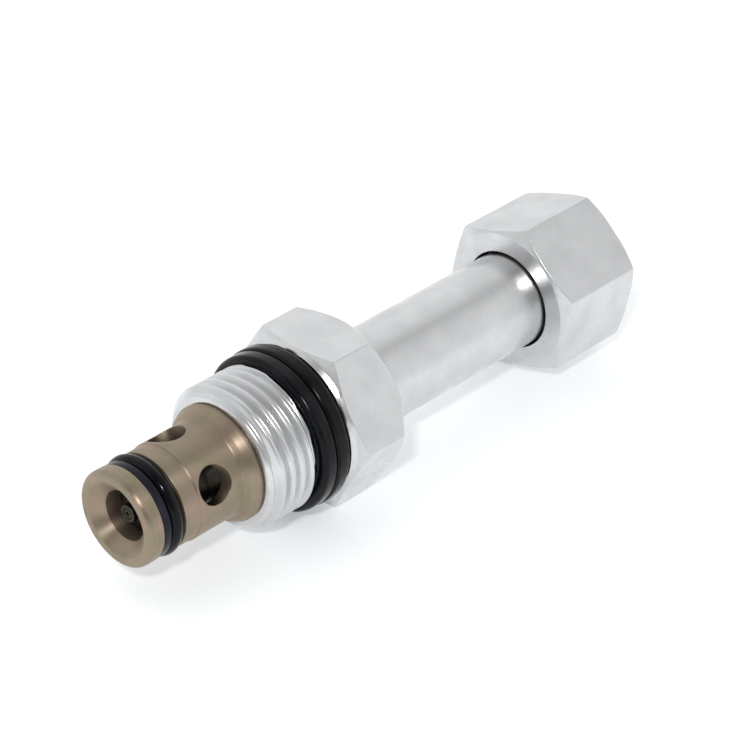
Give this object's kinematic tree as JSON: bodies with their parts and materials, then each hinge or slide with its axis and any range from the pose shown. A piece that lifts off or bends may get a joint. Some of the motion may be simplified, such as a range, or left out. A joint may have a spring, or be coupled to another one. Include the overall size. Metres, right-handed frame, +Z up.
{
  "type": "cartridge valve",
  "caption": "Screw-in solenoid cartridge valve: ported cage with sprung poppet, threaded hex body with seals, armature tube and removable hexagonal coil nut.",
  "frame": {"origin": "on the valve's axis, in the plane of the hexagon's seat face that meets the manifold", "axes": "+X along the axis from the nose to the coil nut, +Z up with one flat of the body's hexagon facing down, +Y completes the right-handed frame"},
  "size_m": [0.0809, 0.0242, 0.0216],
  "materials": {
    "cage_steel": "satin, turned, with a light bronze tint",
    "zinc_steel": "satin bright zinc plating",
    "tube_steel": "smooth satin plating",
    "core_steel": "turned, plated",
    "hard_steel": "ground",
    "spring_steel": "drawn wire",
    "shim_brass": "rolled",
    "black_rubber": "smooth, slightly oily",
    "black_rubber_rear": "smooth, slightly oily",
    "backup_plastic": "smooth",
    "seal_plastic": "filled fluoropolymer"
  },
  "bodies": {
    "valve_body": {"cage": "cage_steel", "nose_oring": "black_rubber", "nose_backup_ring": "backup_plastic", "cage_oring": "black_rubber", "cage_lock_ring": "spring_steel", "valve_body": "zinc_steel", "port_oring": "black_rubber", "port_backup_ring": "black_rubber_rear", "tube_oring": "black_rubber", "guide_tube": "tube_steel", "armature_stop": "core_steel", "pole_piece": "core_steel", "antiresidual_shim": "shim_brass", "return_spring": "spring_steel", "poppet_spring": "spring_steel"},
    "armature": {"armature": "core_steel", "pilot_needle": "hard_steel", "needle_pin": "hard_steel"},
    "poppet": {"main_poppet": "hard_steel", "tip_orifice": "hard_steel", "poppet_seal_ring": "seal_plastic"},
    "nut_carrier": {"nut_oring": "black_rubber"},
    "coil_nut": {"coil_nut": "zinc_steel"}
  },
  "joints": [
    {"name": "armature_slide", "type": "slide", "parent": "valve_body", "child": "armature", "axis": [1, 0, 0], "range_m": [0, 0.00196], "stiffness_N_per_m": 1500, "springref_m": -0.004, "deforming": ["return_spring"]},
    {"name": "poppet_lift", "type": "slide", "parent": "valve_body", "child": "poppet", "axis": [1, 0, 0], "range_m": [0, 0.00158], "deforming": ["poppet_spring"]},
    {"name": "nut_travel", "type": "slide", "parent": "valve_body", "child": "nut_carrier", "axis": [1, 0, 0], "range_m": [0, 0.00889]},
    {"name": "nut_turn", "type": "hinge", "parent": "nut_carrier", "child": "coil_nut", "pos_m": [0.045, 0, 0], "axis": [1, 0, 0], "range_deg": [0, 2520.5]}
  ],
  "couplings": [
    {"joint": "poppet_lift", "follows": "armature_slide", "ratio": 0.8},
    {"joint": "nut_turn", "follows": "nut_travel", "rad_per_m": 4947.4}
  ]
}
